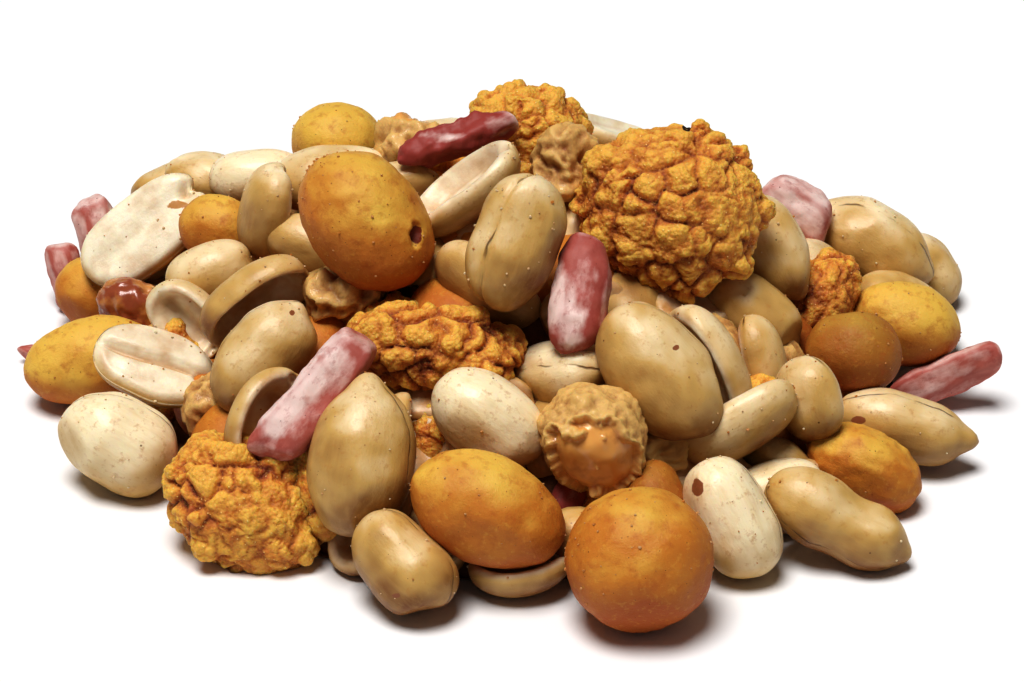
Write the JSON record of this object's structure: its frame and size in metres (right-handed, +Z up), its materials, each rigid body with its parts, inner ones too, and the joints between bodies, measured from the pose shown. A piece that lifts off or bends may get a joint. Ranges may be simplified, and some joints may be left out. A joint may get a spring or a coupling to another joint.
{
  "type": "heap of snack mix",
  "caption": "Loose heap of party snack mix: peanuts, split halves, coated peanuts, craggy crackers, pink sticks and glazed nuts, fused into one solid.",
  "frame": {"origin": "on the table, under the middle of the heap, in the flat underside", "axes": "+Z up, +X to the right along the heap's broad front, -Y towards whoever looks at that front"},
  "size_m": [0.1057, 0.098, 0.0338],
  "materials": {
    "peanut": "satin",
    "coating": "satin",
    "cracker": "rough",
    "pink_stick": "rough",
    "glaze": "glossy",
    "core": "rough"
  },
  "bodies": {
    "root": {"snack_heap": "peanut"}
  },
  "joints": []
}
